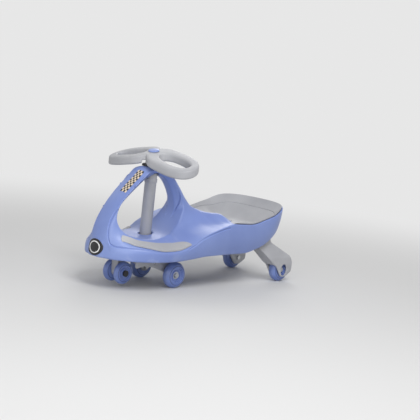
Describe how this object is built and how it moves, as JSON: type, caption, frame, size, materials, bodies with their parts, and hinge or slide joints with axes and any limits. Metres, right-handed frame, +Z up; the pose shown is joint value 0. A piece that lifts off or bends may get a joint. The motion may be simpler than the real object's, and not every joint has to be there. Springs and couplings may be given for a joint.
{
  "type": "wiggle car",
  "caption": "Ride-on wiggle car with a moulded body, arch window, bucket seat, winged steering wheel on a column, a steered swing arm under the nose and road wheels on axles.",
  "frame": {"origin": "on the ground, in the middle of the car's length and width", "axes": "+X towards the nose, +Y to the rider's left, +Z up"},
  "size_m": [0.7214, 0.346, 0.3975],
  "materials": {
    "blue_plastic": "satin moulded plastic, mid blue",
    "grey_plastic": "satin moulded plastic, light grey",
    "black_plastic": "smooth black plastic",
    "blue_wheel": "cast polyurethane, mid blue",
    "clear_plastic": "clear plastic over small lamps",
    "steel": "zinc plated steel"
  },
  "bodies": {
    "chassis": {"body_shell": "blue_plastic", "seat_pan": "grey_plastic", "seat_screws": "steel", "foot_pad_left": "grey_plastic", "foot_pad_right": "grey_plastic", "nose_badge": "black_plastic", "head_bush": "black_plastic", "floor_bush": "black_plastic", "rear_bracket_left": "grey_plastic", "rear_bracket_right": "grey_plastic", "bracket_screws": "steel", "rear_left_magnet_sleeve": "black_plastic", "rear_left_axle_bolt": "steel", "rear_left_axle_nut": "steel", "rear_right_magnet_sleeve": "black_plastic", "rear_right_axle_bolt": "steel", "rear_right_axle_nut": "steel"},
    "steering": {"swing_arm": "grey_plastic", "cross_bolt": "steel", "thrust_washer": "black_plastic", "steering_tube": "steel", "column_cover": "grey_plastic", "column_collar": "grey_plastic", "steering_wheel": "grey_plastic", "wheel_bolt": "steel", "steering_cap": "blue_plastic", "twin_pin": "steel", "twin_clips": "black_plastic", "front_left_magnet_sleeve": "black_plastic", "front_left_axle_bolt": "steel", "front_left_axle_nut": "steel", "front_right_magnet_sleeve": "black_plastic", "front_right_axle_bolt": "steel", "front_right_axle_nut": "steel"},
    "front_left_wheel": {"front_left_tyre": "blue_wheel", "front_left_hub": "blue_plastic", "front_left_light_ring": "clear_plastic", "front_left_bearings": "steel"},
    "front_right_wheel": {"front_right_tyre": "blue_wheel", "front_right_hub": "blue_plastic", "front_right_light_ring": "clear_plastic", "front_right_bearings": "steel"},
    "rear_left_wheel": {"rear_left_tyre": "blue_wheel", "rear_left_hub": "blue_plastic", "rear_left_light_ring": "clear_plastic", "rear_left_bearings": "steel"},
    "rear_right_wheel": {"rear_right_tyre": "blue_wheel", "rear_right_hub": "blue_plastic", "rear_right_light_ring": "clear_plastic", "rear_right_bearings": "steel"},
    "twin_left_wheel": {"twin_wheel_left": "blue_wheel"},
    "twin_right_wheel": {"twin_wheel_right": "blue_wheel"}
  },
  "joints": [
    {"name": "steering_turn", "type": "hinge", "parent": "chassis", "child": "steering", "pos_m": [0.1723, 0, 0.2], "axis": [0, 0, 1], "continuous": true},
    {"name": "front_left_roll", "type": "hinge", "parent": "steering", "child": "front_left_wheel", "pos_m": [0.1093, 0.072, 0.038], "axis": [0, 1, 0], "continuous": true},
    {"name": "front_right_roll", "type": "hinge", "parent": "steering", "child": "front_right_wheel", "pos_m": [0.1093, -0.072, 0.038], "axis": [0, 1, 0], "continuous": true},
    {"name": "rear_left_roll", "type": "hinge", "parent": "chassis", "child": "rear_left_wheel", "pos_m": [-0.3227, 0.101, 0.038], "axis": [0, 1, 0], "continuous": true},
    {"name": "rear_right_roll", "type": "hinge", "parent": "chassis", "child": "rear_right_wheel", "pos_m": [-0.3227, -0.101, 0.038], "axis": [0, 1, 0], "continuous": true},
    {"name": "twin_left_roll", "type": "hinge", "parent": "steering", "child": "twin_left_wheel", "pos_m": [0.2633, 0.023, 0.0425], "axis": [0, 1, 0], "continuous": true},
    {"name": "twin_right_roll", "type": "hinge", "parent": "steering", "child": "twin_right_wheel", "pos_m": [0.2633, -0.023, 0.0425], "axis": [0, 1, 0], "continuous": true}
  ]
}
